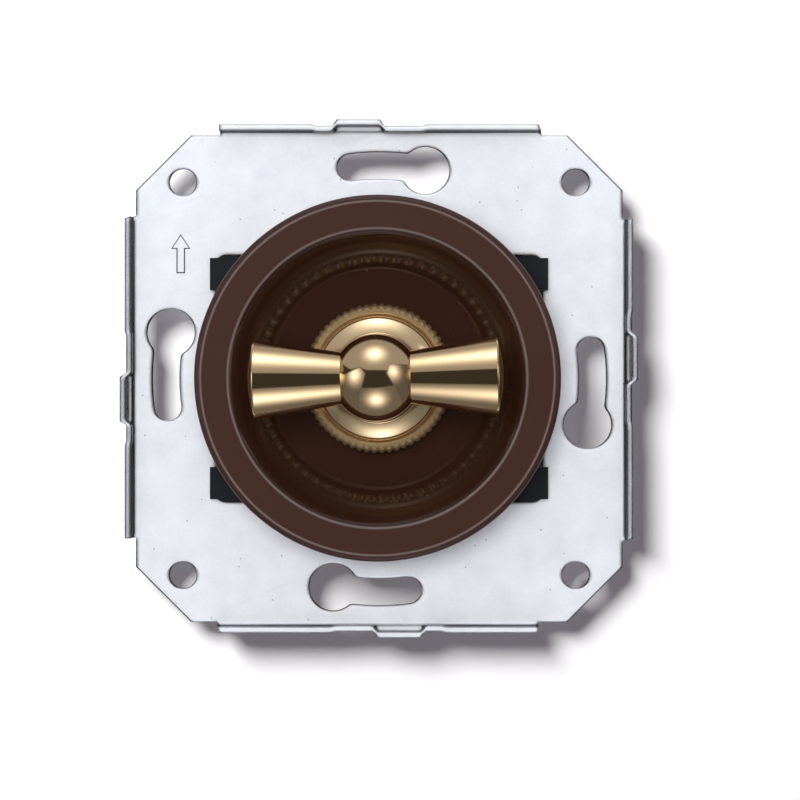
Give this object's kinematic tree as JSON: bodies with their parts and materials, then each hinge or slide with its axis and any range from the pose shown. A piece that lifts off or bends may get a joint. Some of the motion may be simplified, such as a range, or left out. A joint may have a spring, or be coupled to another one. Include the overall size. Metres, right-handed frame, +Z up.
{
  "type": "rotary light switch mechanism",
  "caption": "Flush light switch with a brass turn handle on a round dished cover, clipped into a square flanged steel support plate with keyhole slots.",
  "frame": {"origin": "centre of the support plate, on its wall face", "axes": "+Z up on the wall, -Y out of the wall towards the user, +X to the user's right"},
  "size_m": [0.0724, 0.0495, 0.0724],
  "materials": {
    "plate_steel": "zinc-plated pressed sheet, satin",
    "brown_plastic": "glossy dark brown moulding with a satin rim",
    "polished_brass": "polished and lacquered",
    "turned_brass": "as turned",
    "black_plastic": "moulded, slightly glossy",
    "white_nylon": "moulded",
    "screw_steel": "zinc-plated",
    "spring_steel": "hardened strip",
    "contact_silver": "riveted contact tips",
    "fibre": "vulcanised fibre"
  },
  "bodies": {
    "switch_body": {"mounting_plate": "plate_steel", "cover": "brown_plastic", "housing": "black_plastic", "threaded_bush": "turned_brass", "knurled_nut": "polished_brass", "thrust_washer": "fibre", "index_spring_left": "spring_steel", "index_spring_right": "spring_steel", "line_1_contact": "turned_brass", "line_2_contact": "turned_brass", "common_contact": "turned_brass", "fixed_tips": "contact_silver", "contact_base": "black_plastic", "wire_guide": "black_plastic", "line_1_terminal": "turned_brass", "line_2_terminal": "turned_brass", "common_terminal": "turned_brass", "clamp_screws": "screw_steel", "assembly_screws": "screw_steel"},
    "turning_gear": {"handle_hub": "polished_brass", "handle_arm_left": "polished_brass", "handle_arm_right": "polished_brass", "arm_stud": "screw_steel", "shaft": "screw_steel", "retaining_ring": "spring_steel", "index_cam": "white_nylon", "rotor": "white_nylon", "contact_bridge": "turned_brass", "moving_contacts": "contact_silver"}
  },
  "joints": [
    {"name": "handle_turn", "type": "hinge", "parent": "switch_body", "child": "turning_gear", "pos_m": [0, -0.016, 0], "axis": [0, 1, 0], "continuous": true, "deforming": ["index_spring_left", "index_spring_right"]}
  ]
}
